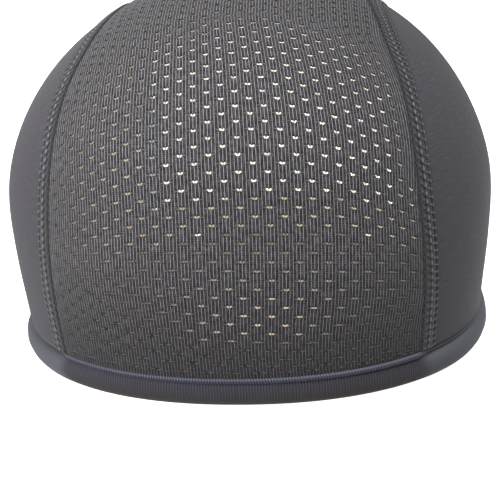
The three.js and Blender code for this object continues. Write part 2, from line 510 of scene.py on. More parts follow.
@dataclass
class ClothGrid:
    """The crown's cloth laid out flat: where a distance across and along lies on the dome.

    Attributes:
        dome: The form that the cloth lies on.
        reach: How far it is measured to either side of the middle line, along the cloth.
        widest_lean: Lean that lies beyond that reach everywhere.
        rows: Measured lines across.
        columns: Measured points on each, from the middle line out.
        turn_steps: Points at which the middle line's length is measured.
        lean_steps: Points at which a line's length across is measured.
    """

    dome: Dome
    reach: float = 72.0
    widest_lean: float = 1.35
    rows: int = 421
    columns: int = 121
    turn_steps: int = 1201
    lean_steps: int = 161

    def __post_init__(self) -> None:
        """Measures the dome."""
        fine = np.linspace(0, math.pi, self.turn_steps)
        run = distances(self.dome.skin(fine, np.zeros_like(fine)))
        self.length = float(run[-1])
        self.along = np.linspace(0, self.length, self.rows)
        self.turns = np.interp(self.along, run, fine)
        self.leans = np.linspace(0, self.widest_lean, self.lean_steps)
        self.arcs = distances(self.dome.skin(self.turns[:, None], self.leans[None, :]))
        self.across = np.linspace(0, self.reach, self.columns)
        leans = np.stack([np.interp(self.across, arc, self.leans) for arc in self.arcs])
        self.points = self.dome.skin(self.turns[:, None], leans)
        self.normals = self.dome.outward(self.points)

    def distance_to(self, leans: np.ndarray) -> np.ndarray:
        """Returns how far across a line lies, from its lean at each of the grid's turns."""
        return np.array([np.interp(lean, self.leans, arc) for lean, arc in zip(leans, self.arcs)])

    def at(self, u: np.ndarray, v: np.ndarray, depth: float | np.ndarray = 0.0) -> np.ndarray:
        """Finds points of the cloth.

        Args:
            u: Distances across, from the middle line.
            v: Distances along, from the near hem.
            depth: Depths into the cloth.

        Returns:
            One point for each of them.
        """
        u, v = np.broadcast_arrays(np.asarray(u, float), np.asarray(v, float))
        row = v / self.length * (len(self.along) - 1)
        column = np.abs(u) / self.across[-1] * (len(self.across) - 1)
        inward = np.broadcast_to(np.asarray(depth, float), u.shape)[..., None]
        found = bilinear(self.points, row, column) - unit(bilinear(self.normals, row, column)) * inward
        found[..., 0] *= np.where(u < 0, -1, 1)
        return found


@dataclass(frozen=True)
class Eyelet:
    """One eyelet of the crown panel: a slit in the form of a bow, with its loops close together.

    Attributes:
        half_width: Middle to the end.
        half_height: Middle to the lower edge.
        outline: The hole's corners as shares of the two, anticlockwise from the right.
        dimple: Half width and half height of the dimple round it at the cloth's face.
        back: The same where it opens at the inner face.
        throat: Depth at which the hole is narrowest.
        middle_drop: How far the hole's middle lies below its corners' origin, in half heights.
    """

    half_width: float = 0.92
    half_height: float = 0.44
    outline: tuple[tuple[float, float], ...] = (
        (1.0, 0.15), (0.58, 1.0), (0.0, 0.2), (-0.58, 1.0), (-1.0, 0.15),
        (-0.7, -0.35), (-0.42, -1.0), (0.0, -0.7), (0.42, -1.0), (0.7, -0.35),
    )  # fmt: skip
    dimple: tuple[float, float] = (1.45, 0.58)
    back: tuple[float, float] = (1.3, 0.95)
    throat: float = 0.18
    middle_drop: float = 0.1

    def corners(self) -> np.ndarray:
        """Returns the hole's corners round its middle, in millimetres."""
        return np.array(self.outline) * [self.half_width, self.half_height]

    def oval(self, half_sizes: tuple[float, float]) -> np.ndarray:
        """Sets a point of an oval beside each of the hole's corners.

        Args:
            half_sizes: The oval's half width and half height.

        Returns:
            The points round the eyelet's middle, in millimetres.
        """
        shares = np.array(self.outline)
        angles = np.arctan2(shares[:, 1] + self.middle_drop, shares[:, 0])
        return np.stack([np.cos(angles), np.sin(angles)], -1) * half_sizes


@dataclass
class Line:
    """A line of points across the crown panel, or a stretch of one.

    Attributes:
        first: Number of its second point, in steps from the middle column. The first one is the edge's.
        a: Where the points lie across the knit's own grid.
        u: Where they lie across the cloth.
        v: Where they lie along it.
        faces: Their numbers on either face.
    """

    first: int
    a: np.ndarray
    u: np.ndarray
    v: np.ndarray
    faces: dict[Face, np.ndarray]

    def span(self, first: int, last: int) -> tuple[int, int]:
        """Returns the places in this line of two steps from the middle column, held to its ends."""
        start, end = np.clip([first - self.first + 1, last - self.first + 1], 0, len(self.a) - 1)
        return int(start), int(end)

    def part(self, start: int, end: int) -> "Line":
        """Cuts a stretch out of the line.

        Args:
            start: Place of its first point.
            end: Place of its last point.

        Returns:
            The stretch.
        """
        cut = slice(start, end + 1)
        faces = {face: numbers[cut] for face, numbers in self.faces.items()}
        return Line(self.first + start, self.a[cut], self.u[cut], self.v[cut], faces)


@dataclass
class CrownPanel:
    """The perforated panel from the near hem over the top to the far hem.

    The knit's own grid, a across and b along, lies a little askew on the head, so it has its own
    place on the cloth: the grain table says how far it has drifted, tilted and bowed.

    Attributes:
        dome: The form that the cloth lies on.
        seams: Where the panel ends on either side.
        eyelet: The hole that is cut in the middle of each whole column.
        cloth: The panel's wall.
        tuck: How far the panel runs on under a seam.
        first_row: Near hem to the first row of eyelets, along the cloth.
        edge_rows: Rows of plain cloth at each hem.
        calm: Distance from a hem within which the rows turn level with it.
        columns: The most columns of eyelets to either side of the middle one.
        steps: Points to a column, an even number.
        edge_gap: Share of a step that is kept free beside the edge's point.
        wales: Knitted ribs between two columns of eyelets.
        courses: Knitted rows between two rows of eyelets.
        rim_pit: Third cloth coordinate at an eyelet's rim, which is 0 on the outer face and sets the
            dimple's painted shade.
        back: The same on the inner face. In a throat it is 1.
        slim: How much wider than high the ring round an eyelet is taken to be.
        grain: By the share along: the columns' pitch, the rows' pitch, how far the middle column
            has drifted across, a row's slope, and its bow per metre.
    """

    dome: Dome
    seams: SeamRoute
    eyelet: Eyelet = Eyelet()
    cloth: float = 0.75
    tuck: float = 0.9
    first_row: float = 2.3
    edge_rows: int = 2
    calm: float = 8.0
    columns: int = 12
    steps: int = 4
    edge_gap: float = 0.4
    wales: int = 8
    courses: int = 4
    rim_pit: float = 0.2
    back: float = 2.0
    slim: float = 3.0
    grain: Table = table(
        along=(0.0, 0.04, 0.09, 0.16, 0.22, 0.28, 0.32, 0.36, 0.5, 0.75, 1.0),
        pitch=(7.8, 7.85, 8.2, 8.2, 8.1, 7.7, 7.35, 7.1, 7.1, 7.9, 7.8),
        row=(2.83, 2.83, 2.8, 2.55, 2.37, 2.37, 2.33, 2.25, 2.25, 2.5, 2.8),
        drift=(-0.3, -0.3, 0.1, 0.5, 0.0, -1.5, -3.0, -4.4, -5.0, -2.5, 0.0),
        tilt=(-0.08, -0.065, -0.033, 0.0, 0.005, 0.02, 0.03, 0.03, 0.02, 0.0, 0.0),
        bow=(0.0, 0.2, 0.5, 1.6, 1.7, 1.2, 0.6, 0.4, 0.3, 0.3, 0.0),
    )

    def __post_init__(self) -> None:
        """Measures the cloth and the panel's edge on it."""
        self.grid = ClothGrid(self.dome)
        self.edges = self.grid.distance_to(
            self.seams.lean(self.grid.turns, self.tuck - self.seams.width / 2)
        )
        self.middles: list[tuple[float, float]] = []

    def build(self, material: bpy.types.Material) -> bpy.types.Object:
        """Builds the panel with every eyelet cut through.

        Args:
            material: Its finish.

        Returns:
            The panel's object.
        """
        build = MeshBuilder()
        lines = [self._line(build, b) for b in self._lay_out()]
        last = len(lines) - 1 - self.edge_rows
        for number, (low, high) in enumerate(zip(lines[:-1], lines[1:])):
            if self.edge_rows <= number < last:
                self._pierced_row(build, number - self.edge_rows, low, high)
            else:
                self._plain(build, low, high)
        self._close_edges(build, lines)
        return build.make("perforated_crown_panel", material)

    def _lay_out(self) -> list[float]:
        """Sets out the rows of eyelets, and a line between every two of them.

        Returns:
            How far along each line lies, from hem to hem.
        """
        self.rows = [self.first_row]
        while self.rows[-1] < self.grid.length - self.first_row:
            self.rows.append(self.rows[-1] + self._grain("row", self.rows[-1]))
        between = [(low + high) / 2 for low, high in zip(self.rows[:-2], self.rows[1:-1])]
        first, last = 2 * self.rows[0] - between[0], 2 * self.rows[-2] - between[-1]
        near = np.linspace(0, first, self.edge_rows + 1)
        far = np.linspace(last, self.grid.length, self.edge_rows + 1)
        return [*near, *between, *far]

    def _grain(self, column: str, b: float) -> float:
        """Returns a value of the grain table at a distance along."""
        share = np.array([np.clip(b / self.grid.length, 0, 1)])
        return float(through(self.grain, "along", column, share)[0])

    def _place(self, a: np.ndarray, b: float) -> tuple[np.ndarray, np.ndarray]:
        """Finds where points of the knit's grid lie on the cloth.

        Args:
            a: Where they are across the knit's grid.
            b: Where they are along it.

        Returns:
            How far across and along they lie.
        """
        calm = smooth_step(np.array([min(b, self.grid.length - b)]), 0, self.calm)[0]
        lean = self._grain("tilt", b) * a + self._grain("bow", b) * MM * a**2
        return a + self._grain("drift", b), b + calm * lean

    def _ends(self, b: float, rounds: int = 4) -> tuple[float, float]:
        """Finds where a line of the knit's grid meets the panel's two edges.

        Args:
            b: Where the line is along the grid.
            rounds: Times that the line's slope is allowed for.

        Returns:
            Where its two ends are across the grid.
        """
        found = []
        for sign in (-1, 1):
            a = sign * float(np.interp(b, self.grid.along, self.edges))
            for _ in range(rounds):
                _, v = self._place(np.array([a]), b)
                a = sign * float(np.interp(v[0], self.grid.along, self.edges)) - self._grain("drift", b)
            found.append(a)
        return found[0], found[1]

    def _cloth(self, a: np.ndarray, b: float | np.ndarray, pit: float) -> np.ndarray:
        """Gives points of the knit's grid their cloth coordinates.

        Args:
            a: Where they are across the grid.
            b: Where they are along it.
            pit: How deep in an eyelet they are, which sets the eyelet's painted shade and, deeper, the inner
                face's colour.

        Returns:
            For each point the wale's number, the courses from the nearer hem, and pit.
        """
        b = np.broadcast_to(b, a.shape)
        pitch = through(self.grain, "along", "pitch", np.clip(b / self.grid.length, 0, 1))
        row = np.interp(b, self.rows, np.arange(len(self.rows)))
        course = np.minimum(row, len(self.rows) - 1 - row) * self.courses
        return np.stack([a / pitch * self.wales, course, np.full(a.shape, pit)], -1)

    def _line(self, build: MeshBuilder, b: float) -> Line:
        """Adds the points of a line across the panel.

        Args:
            build: Takes the points of both faces.
            b: Where the line is along the knit's grid.

        Returns:
            The line.
        """
        step = self._grain("pitch", b) / self.steps
        left, right = self._ends(b)
        first, last = math.ceil(left / step + self.edge_gap), math.floor(right / step - self.edge_gap)
        a = np.concatenate([[left], step * np.arange(first, last + 1), [right]])
        u, v = self._place(a, b)
        faces = {
            face: build.add_points(self.grid.at(u, v, depth), self._cloth(a, b, pit))
            for face, depth, pit in ((Face.OUTER, 0.0, 0.0), (Face.INNER, self.cloth, self.back))
        }
        return Line(first, a, u, v, faces)

    def _pierced_row(self, build: MeshBuilder, row: int, low: Line, high: Line) -> None:
        """Fills the cloth between two lines, with an eyelet in the middle of each whole column.

        Args:
            build: Takes the cloth.
            row: Number of the row of eyelets.
            low: The line before it.
            high: The line after it.
        """
        pitch, shift = self._grain("pitch", self.rows[row]), row % 2
        margin = self.tuck + self.eyelet.dimple[0]
        left = max(low.a[0], high.a[0]) + margin
        right = min(low.a[-1], high.a[-1]) - margin
        cells = []
        for column in range(-self.columns, self.columns + 1):
            a = (column + shift / 2) * pitch
            if not left <= a <= right:
                continue
            first = self.steps * column + self.steps // 2 * (shift - 1)
            cells.append([line.span(first, first + self.steps) for line in (low, high)])
            stretches = [line.part(*span) for line, span in zip((low, high), cells[-1])]
            self._pierced_cell(build, a, self.rows[row], *stretches)
        starts, ends = [span[0] for span in cells[0]], [span[1] for span in cells[-1]]
        self._plain(build, low.part(0, starts[0]), high.part(0, starts[1]))
        self._plain(build, low.part(ends[0], len(low.a) - 1), high.part(ends[1], len(high.a) - 1))

    def _pierced_cell(self, build: MeshBuilder, a: float, b: float, low: Line, high: Line) -> None:
        """Fills the cloth round one eyelet and cuts the eyelet through it.

        Args:
            build: Takes the cloth.
            a: Where the eyelet is across the knit's grid.
            b: Where it is along it.
            low: The stretch of line before it.
            high: The stretch of line after it.
        """
        centre_u, centre_v = self._place(np.array([a]), b)
        self.middles.append((centre_u[0], centre_v[0]))
        round_u = np.concatenate([low.u, high.u[::-1]]) - centre_u
        round_v = np.concatenate([low.v, high.v[::-1]]) - centre_v
        angles = np.arctan2(round_v * self.slim, round_u)
        rim, back = self.eyelet.oval(self.eyelet.dimple), self.eyelet.oval(self.eyelet.back)
        rings = [
            build.add_points(
                self.grid.at(centre_u + offsets[:, 0], centre_v + offsets[:, 1], depth),
                self._cloth(a + offsets[:, 0], b + offsets[:, 1], pit),
            )
            for offsets, depth, pit in (
                (rim, 0.0, self.rim_pit),
                (self.eyelet.corners(), self.eyelet.throat, 1.0),
                (back, self.cloth, self.back),
            )
        ]
        rim_angles = np.arctan2(rim[:, 1] * self.slim, rim[:, 0])
        for face, ring in ((Face.OUTER, rings[0]), (Face.INNER, rings[-1])):
            loop = np.concatenate([low.faces[face], high.faces[face][::-1]])
            build.add_triangles(ring_triangles(loop, angles, ring, rim_angles), face)
        build.add_grid(np.stack(rings), loop_columns=True)

    def _plain(self, build: MeshBuilder, low: Line, high: Line) -> None:
        """Fills the cloth between two lines that have no eyelet between them.

        Args:
            build: Takes the cloth.
            low: A line or a stretch of one.
            high: The same of the next line.
        """
        i, j, i_end, j_end = 0, 0, len(low.u) - 1, len(high.u) - 1
        triangles: dict[Face, list[list[int]]] = {face: [] for face in Face}
        while i < i_end or j < j_end:
            up_next = j < j_end and (i == i_end or high.u[j + 1] < low.u[i + 1])
            for face, corners in triangles.items():
                under, over = low.faces[face], high.faces[face]
                corners.append([under[i], over[j + 1] if up_next else under[i + 1], over[j]])
            i, j = (i, j + 1) if up_next else (i + 1, j)
        for face, corners in triangles.items():
            build.add_triangles(corners, face)

    def _close_edges(self, build: MeshBuilder, lines: list[Line]) -> None:
        """Adds the wall round the panel's edge.

        Args:
            build: Takes the wall.
            lines: The lines across, from hem to hem.
        """
        loops = []
        for face in (Face.INNER, Face.OUTER):
            numbers = [line.faces[face] for line in lines]
            right, left = [line[-1] for line in numbers[1:]], [line[0] for line in numbers[-2:0:-1]]
            loops.append(np.concatenate([numbers[0], right, numbers[-1][-2::-1], left]))
        build.add_grid(np.stack(loops), loop_columns=True)


def ring_triangles(
    outer: np.ndarray, outer_angles: np.ndarray, inner: np.ndarray, inner_angles: np.ndarray
) -> np.ndarray:
    """Fills the space between two closed loops round one middle.

    Args:
        outer: Point numbers of the outer loop.
        outer_angles: Their angles round the middle.
        inner: Point numbers of the inner loop.
        inner_angles: Their angles round the middle.

    Returns:
        Triangles as point numbers, anticlockwise.
    """
    outer_order, inner_order = np.argsort(outer_angles), np.argsort(inner_angles)
    outer, a = outer[outer_order], outer_angles[outer_order]
    inner, b = inner[inner_order], inner_angles[inner_order]
    n, m, i, j, triangles = len(outer), len(inner), 0, 0, []
    while i < n or j < m:
        next_a = a[(i + 1) % n] + (FULL_TURN if i + 1 >= n else 0)
        next_b = b[(j + 1) % m] + (FULL_TURN if j + 1 >= m else 0)
        if j >= m or (i < n and next_a <= next_b):
            triangles.append([outer[i % n], outer[(i + 1) % n], inner[j % m]])
            i += 1
        else:
            triangles.append([outer[i % n], inner[(j + 1) % m], inner[j % m]])
            j += 1
    return np.array(triangles)


@dataclass
class SidePanel:
    """The smooth panel that closes one side of the cap.

    Attributes:
        dome: The form that the cloth lies on.
        seams: Where the panel begins.
        side: Which side it closes.
        cloth: The panel's wall.
        tuck: How far the panel runs on under its seam.
        rows: Steps from hem to hem.
        columns: Steps from the seam down to the hem's middle.
    """

    dome: Dome
    seams: SeamRoute
    side: Side
    cloth: float = 1.0
    tuck: float = 0.9
    rows: int = 150
    columns: int = 40

    def build(self, material: bpy.types.Material) -> bpy.types.Object:
        """Builds the panel from its seam down to the middle of its hem.

        Args:
            material: Its finish.

        Returns:
            The panel's object.
        """
        turns = np.linspace(0, math.pi, self.rows + 1)
        start = self.seams.lean(turns, self.seams.width / 2 - self.tuck)[:, None]
        shares = np.linspace(0, 1, self.columns + 1)[None, :]
        outer = self.dome.skin(turns[:, None], start + (math.pi / 2 - start) * shares)
        inner = outer - self.dome.outward(outer) * self.cloth
        build = MeshBuilder()
        cloth = outer @ np.array([[0, 0, 0], [1, 0, 0], [0, 1, 0]])
        add_sheet(build, outer, inner, cloth, cloth + [0, 0, 1])
        return build.make(f"side_panel_jersey_{self.side.name.lower()}", material, self.side)


@dataclass
class EyeletThreads:
    """The fine threads at every eyelet: one across it from top to bottom, and a pale float to each side.

    Attributes:
        panel: The panel with the eyelets.
        radius: Of the thread across.
        depth: How deep it lies in the cloth.
        sag: How much less deep its middle lies.
        lean: How far its ends are to either side.
        overlap: Its length, in heights of an eyelet.
        float_reach: From an eyelet's middle to the nearer and the farther end of a float.
        float_radius: Of a float.
        float_lift: How far a float's ends and its middle stand out of the cloth.
        float_lean: How far its ends are up and down.
        pit: Third cloth coordinate of the thread across, which gives it part of the eyelet's painted shade.
        courses: Second cloth coordinate of a float, far enough from a hem to be clear of the knit's painted
            shade there.
    """

    panel: CrownPanel
    radius: float = 0.05
    depth: float = 0.3
    sag: float = 0.1
    lean: float = 0.1
    overlap: float = 1.1
    float_reach: tuple[float, float] = (0.55, 1.75)
    float_radius: float = 0.07
    float_lift: tuple[float, float] = (0.04, 0.09)
    float_lean: float = 0.05
    pit: float = 0.35
    courses: float = 100.0

    def build(self, material: bpy.types.Material) -> bpy.types.Object:
        """Builds the threads of each eyelet that the panel has cut.

        Args:
            material: Their finish.

        Returns:
            The threads' object.
        """
        steps = np.linspace(-1, 1, 4)
        arch = 1 - steps**2
        height = self.panel.eyelet.half_height * self.overlap
        build = MeshBuilder()
        path = np.stack([self.lean * steps, height * steps, self.depth - self.sag * arch])
        self._add(build, path, self.radius, (0, 0, self.pit))
        least, most = self.float_lift
        for sign in (-1, 1):
            reach = np.linspace(*self.float_reach, 4) * sign
            path = np.stack([reach, self.float_lean * steps, -least - (most - least) * arch])
            self._add(build, path, self.float_radius, (0, self.courses, 0))
        return build.make("eyelet_threads", material)

    def _add(
        self, build: MeshBuilder, path: np.ndarray, radius: float, cloth: tuple[float, float, float]
    ) -> None:
        """Adds one thread per eyelet.

        Args:
            build: Takes the threads.
            path: Distances across and along from the eyelet's middle, and depths in the cloth.
            radius: Of the thread.
            cloth: Its cloth coordinates.
        """
        middles = np.array(self.panel.middles)
        u, v = middles[:, :1] + path[0], middles[:, 1:] + path[1]
        lift = self.panel.grid.at(u, v) - self.panel.grid.at(u, v, 1.0)
        paths = self.panel.grid.at(u, v, path[2])
        add_tubes(build, paths, lift, np.full(u.shape, radius), np.broadcast_to(cloth, paths.shape), sides=4)


@dataclass
class Seam:
    """A flat seam: a strip of cloth under three rows of stitches, with threads carried between them.

    Attributes:
        dome: The form that the seam lies on.
        route: Where it runs.
        side: Which seam it is.
        stitch: Length of a stitch along the seam.
        depth: How far the strip reaches into the cap.
        pinch: How far each stitch pulls the strip in.
        inner_tone: First cloth coordinate of the strip's inner face.
        thin_end: Thickness of a thread's ends, as a share of its middle's.
        dark_end: Tone of a thread's ends, as a share of its middle's, as painted shade where it goes into
            the cloth.
        rows: How far past the centre line the rows of stitches lie.
        strip: The strip's section, by the distance past the centre line; its tone is painted shade in the
            grooves and painted light on the ridges.
        threads: The rows that a thread joins, where it starts and how far it runs, both in stitches,
        and its radius, rise and tone, which is partly the thread's own grey and partly painted light.
    """

    dome: Dome
    route: SeamRoute
    side: Side
    stitch: float = 2.4
    depth: float = 1.25
    pinch: float = 0.05
    inner_tone: float = 0.9
    thin_end: float = 0.5
    dark_end: float = 0.35
    rows: tuple[float, float, float] = (-2.85, 0.35, 2.95)
    strip: Table = table(
        past=(-3.4, -3.2, -2.45, -2.15, -0.4, -0.15, 0.35, 0.85, 2.05, 2.35, 2.75, 3.4),
        rise=(-0.18, -0.3, -0.3, 0.18, 0.24, -0.02, 0.1, 0.24, 0.22, -0.12, -0.1, -0.18),
        tone=(0.1, 0.0, 0.0, 0.3, 0.3, 0.0, 0.05, 0.32, 0.32, 0.0, 0.0, 0.2),
    )
    threads: Table = table(
        from_row=(0, 1, 2, 0, 0, 1, 1),
        to_row=(0, 1, 2, 1, 1, 0, 2),
        start=(0.1, 0.06, 0.1, 0.0, 0.5, 0.1, 0.15),
        run=(0.34, 0.88, 0.7, 0.95, 0.1, 0.85, 0.3),
        radius=(0.22, 0.34, 0.26, 0.19, 0.16, 0.19, 0.24),
        rise=(0.06, 0.3, 0.14, 0.38, 0.32, 0.44, 0.34),
        tone=(0.4, 0.9, 0.8, 0.55, 0.45, 0.62, 0.7),
    )

    def build(self, material: bpy.types.Material) -> bpy.types.Object:
        """Builds the strip and its threads.

        Args:
            material: Their finish.

        Returns:
            The seam's object.
        """
        self._measure()
        build = MeshBuilder()
        self._strip(build)
        count = int(self.length / self.stitch)
        pitch = self.length / count
        for first, last, start, run, radius, rise, tone in zip(*self.threads.values()):
            stitches = np.arange(count - (first != last))[:, None]
            ends = pitch * (stitches + [start, start + run])
            self._threads(build, ends, (self.rows[first], self.rows[last]), radius, rise, tone)
        return build.make(f"seam_stitching_{self.side.name.lower()}", material, self.side)

    def _measure(self, rows: int = 401, columns: int = 13, reach: float = 3.6) -> None:
        """Lays out the dome's face beside the centre line.

        Args:
            rows: Measured lines across.
            columns: Measured points on each, an odd number.
            reach: How far from the centre line it is measured.
        """
        turns = np.linspace(0, math.pi, rows)
        self.pasts = np.linspace(-reach, reach, columns)
        leans = np.stack([self.route.lean(turns, past) for past in self.pasts], axis=1)
        self.points = self.dome.skin(turns[:, None], leans)
        self.normals = self.dome.outward(self.points)
        self.run = distances(self.points[:, columns // 2])
        self.length = float(self.run[-1])

    def _at(self, along: np.ndarray, past: np.ndarray, rise: np.ndarray) -> tuple[np.ndarray, np.ndarray]:
        """Finds points beside the centre line.

        Args:
            along: Distances along it.
            past: Distances past it.
            rise: Heights above the dome's face.

        Returns:
            The points, and the way out of the cloth at each.
        """
        row = np.interp(along, self.run, np.arange(len(self.run)))
        column = np.interp(past, self.pasts, np.arange(len(self.pasts)))
        normals = unit(bilinear(self.normals, row, column))
        return bilinear(self.points, row, column) + normals * rise[..., None], normals

    def _strip(self, build: MeshBuilder, lines: int = 601) -> None:
        """Adds the strip of cloth, a little pinched at each stitch.

        Args:
            build: Takes the strip.
            lines: Lines of points across it.
        """
        along, past = np.meshgrid(np.linspace(0, self.length, lines), self.strip["past"], indexing="ij")
        rise = self.strip["rise"] - self.pinch * np.cos(FULL_TURN * along / self.stitch)
        outer, _ = self._at(along, past, rise)
        inner, _ = self._at(along, past, np.full(along.shape, -self.depth))
        # tone: painted shade in the strip's grooves, painted light on its ridges
        cloth = np.stack([np.broadcast_to(self.strip["tone"], along.shape), along, past], -1)
        add_sheet(build, outer, inner, cloth, cloth * [0, 1, 1] + [self.inner_tone, 0, 0])

    def _threads(
        self,
        build: MeshBuilder,
        ends: np.ndarray,
        across: tuple[float, float],
        radius: float,
        rise: float,
        tone: float,
    ) -> None:
        """Adds threads, arched out of the cloth and thin at their ends.

        Args:
            build: Takes the threads.
            ends: How far along each thread's two ends lie.
            across: How far past the centre line they lie.
            radius: Of a thread's middle.
            rise: Of its middle above the dome's face.
            tone: First cloth coordinate of its middle.
        """
        steps = np.linspace(0, 1, 7)
        arch = np.sin(math.pi * np.clip(steps, 0.04, 0.96)) ** 0.6
        along = ends[:, :1] + (ends[:, 1:] - ends[:, :1]) * steps
        past = np.broadcast_to(across[0] + (across[1] - across[0]) * steps, along.shape)
        paths, lift = self._at(along, past, np.broadcast_to(rise * arch, along.shape))
        radii = np.broadcast_to(radius * (self.thin_end + (1 - self.thin_end) * arch), along.shape)
        # painted light on each thread's arched middle, painted shade at its ends
        tones = np.broadcast_to(tone * (self.dark_end + (1 - self.dark_end) * arch**2), along.shape)
        add_tubes(build, paths, lift, radii, np.stack([tones, along, past], -1))


@dataclass
class Hem:
    """The hem round the mouth: a ribbed band with a twisted edge over the crown panel's two ends.

    Attributes:
        dome: The form above the hem.
        steps: Steps round the mouth.
        rib: From one knitted rib to the next.
        rib_height: How far a rib stands out.
        crown_until: X at which the ribs and the twist begin to fade, and where they are gone.
        band: The band's section from the floor up and inside down again: height, and how far out
            it stands over the crown panel's ends and over the sides.
        twist: The twisted edge's middle and half sizes, over the crown panel and over the sides.
        inner_from: Number of the band's first point that lies inside the cap.
        inner_zone: Third cloth coordinate in there, which outside is the share of the crown's look.
        valley: Height within a rib's profile, from 0 to 1, that lies in the band's own face.
        side_relief: How much of a rib's height is left over the sides.
        strand: How much the twist's strands swell out.
        fine_steps: Points at which the mouth is measured.
    """

    dome: Dome
    steps: int = 2500
    rib: float = 0.86
    rib_height: float = 0.12
    crown_until: tuple[float, float] = (53.5, 57.5)
    band: Table = table(
        height=(0.0, 0.35, 1.7, 3.9, 6.2, 7.9, 8.6, 8.8, 12.2, 12.2, 8.0, 1.0, 0.0),
        crown=(-0.3, 0.25, 0.75, 1.1, 1.0, 0.55, -0.25, -1.15, -1.15, -1.6, -2.0, -1.6, -1.0),
        side=(-0.5, 0.35, 1.15, 1.85, 1.75, 1.0, -0.3, -1.15, -1.15, -1.6, -2.0, -1.6, -1.0),
    )
    twist: Table = table(
        middle_height=(9.75, 9.7),
        middle_out=(0.05, -0.6),
        half_height=(0.95, 0.85),
        half_width=(0.85, 0.5),
    )
    inner_from: int = 7
    inner_zone: float = 2.0
    valley: float = 0.6
    side_relief: float = 0.25
    strand: float = 0.17
    fine_steps: int = 20001

    def __post_init__(self) -> None:
        """Measures the mouth and where the crown panel's ends are."""
        fine = np.linspace(0, FULL_TURN, self.fine_steps)
        run = distances(self.dome.outline(fine, np.full_like(fine, self.dome.rim)))
        self.length = float(run[-1])
        self.along = self.length * np.arange(self.steps) / self.steps
        self.angles = np.interp(self.along, run, fine)
        across = np.abs(self.dome.outline(self.angles, np.full(self.steps, self.dome.rim))[:, 0])
        self.crown_share = 1 - smooth_step(across, *self.crown_until)
        self.ribs = self.along / self.length * round(self.length / self.rib)

    def _place(self, height: np.ndarray, out: np.ndarray) -> np.ndarray:
        """Finds points round the mouth.

        Args:
            height: Heights, by the step round the mouth and the point of the section.
            out: How far out of the dome's face each point stands.

        Returns:
            The points.
        """
        angles = np.broadcast_to(self.angles[:, None], height.shape)
        points = self.dome.outline(angles, height)
        facing = self.dome.outward(points) * [1, 1, 0]
        return points + unit(facing) * out[..., None]

    def _wrap(self, name: str, material: bpy.types.Material, *parts: np.ndarray) -> bpy.types.Object:
        """Makes a closed ring round the mouth.

        Args:
            name: The piece's name.
            material: Its finish.
            *parts: Its points' heights, how far out they stand, and their three cloth coordinates.

        Returns:
            The ring's object.
        """
        height, out, *cloth = np.broadcast_arrays(*parts)
        build = MeshBuilder()
        numbers = build.add_points(self._place(height, out), np.stack(cloth, -1))
        build.add_grid(numbers[:, ::-1], loop_rows=True, loop_columns=True)
        return build.make(name, material)

    def build_band(self, material: bpy.types.Material) -> bpy.types.Object:
        """Builds the ribbed band.

        Args:
            material: Its finish.

        Returns:
            The band's object.
        """
        height, crown, side = (np.array(column)[None, :] for column in self.band.values())
        share, ribs, places = self.crown_share[:, None], self.ribs[:, None], np.arange(height.size)[None, :]
        outside = smooth_step(places, 8.5, 7.5) * smooth_step(height, 0.0, 1.5)
        ridge = self.rib_height * (np.abs(np.cos(math.pi * ribs)) - self.valley)
        relief = ridge * outside * (self.side_relief + (1 - self.side_relief) * share)
        out = side + (crown - side) * share + relief
        zone = np.where(places < self.inner_from, share, self.inner_zone)
        return self._wrap("hem_ribbing", material, height, out, ribs, height, zone)

    def build_twist(self, material: bpy.types.Material, corners: int = 12) -> bpy.types.Object:
        """Builds the twisted edge above the band.

        Args:
            material: Its finish.
            corners: Of its section.

        Returns:
            The edge's object.
        """
        around = FULL_TURN * np.arange(corners)[None, :] / corners
        share = self.crown_share[:, None]
        sizes = {name: pair[1] + (pair[0] - pair[1]) * share for name, pair in self.twist.items()}
        turned = np.cos(FULL_TURN * self.ribs[:, None] + around)
        swell = 1 + self.strand * share * turned
        height = sizes["middle_height"] + sizes["half_height"] * swell * np.sin(around)
        out = sizes["middle_out"] + sizes["half_width"] * swell * np.cos(around)
        return self._wrap("hem_twist", material, height, out, turned, height, share)


@dataclass
class Wire:
    """An output of a material's nodes. Arithmetic on it adds Math nodes.

    Attributes:
        graph: The material's nodes.
        socket: The output.
    """

    graph: "Graph"
    socket: bpy.types.NodeSocket

    def __add__(self, other: "Wire | float") -> "Wire":
        """Returns the sum."""
        return self.graph.math("ADD", self, other)

    def __sub__(self, other: "Wire | float") -> "Wire":
        """Returns this value less the other."""
        return self.graph.math("SUBTRACT", self, other)

    def __rsub__(self, other: float) -> "Wire":
        """Returns the other value less this one."""
        return self.graph.math("SUBTRACT", other, self)

    def __mul__(self, other: "Wire | float") -> "Wire":
        """Returns the product."""
        return self.graph.math("MULTIPLY", self, other)

    def __truediv__(self, other: "Wire | float") -> "Wire":
        """Returns this value over the other."""
        return self.graph.math("DIVIDE", self, other)

    __radd__ = __add__
    __rmul__ = __mul__

    def wave(self) -> "Wire":
        """Returns a wave from 0 to 1 that repeats with every whole step of this value."""
        return self.graph.math("COSINE", self * FULL_TURN) * 0.5 + 0.5

    def swing(self, amount: float) -> "Wire":
        """Returns how far this value is from 0.5, times an amount."""
        return (self - 0.5) * amount

    def held(self) -> "Wire":
        """Returns this value kept from 0 to 1."""
        return self.graph.add("ShaderNodeClamp", inputs={"Value": self})


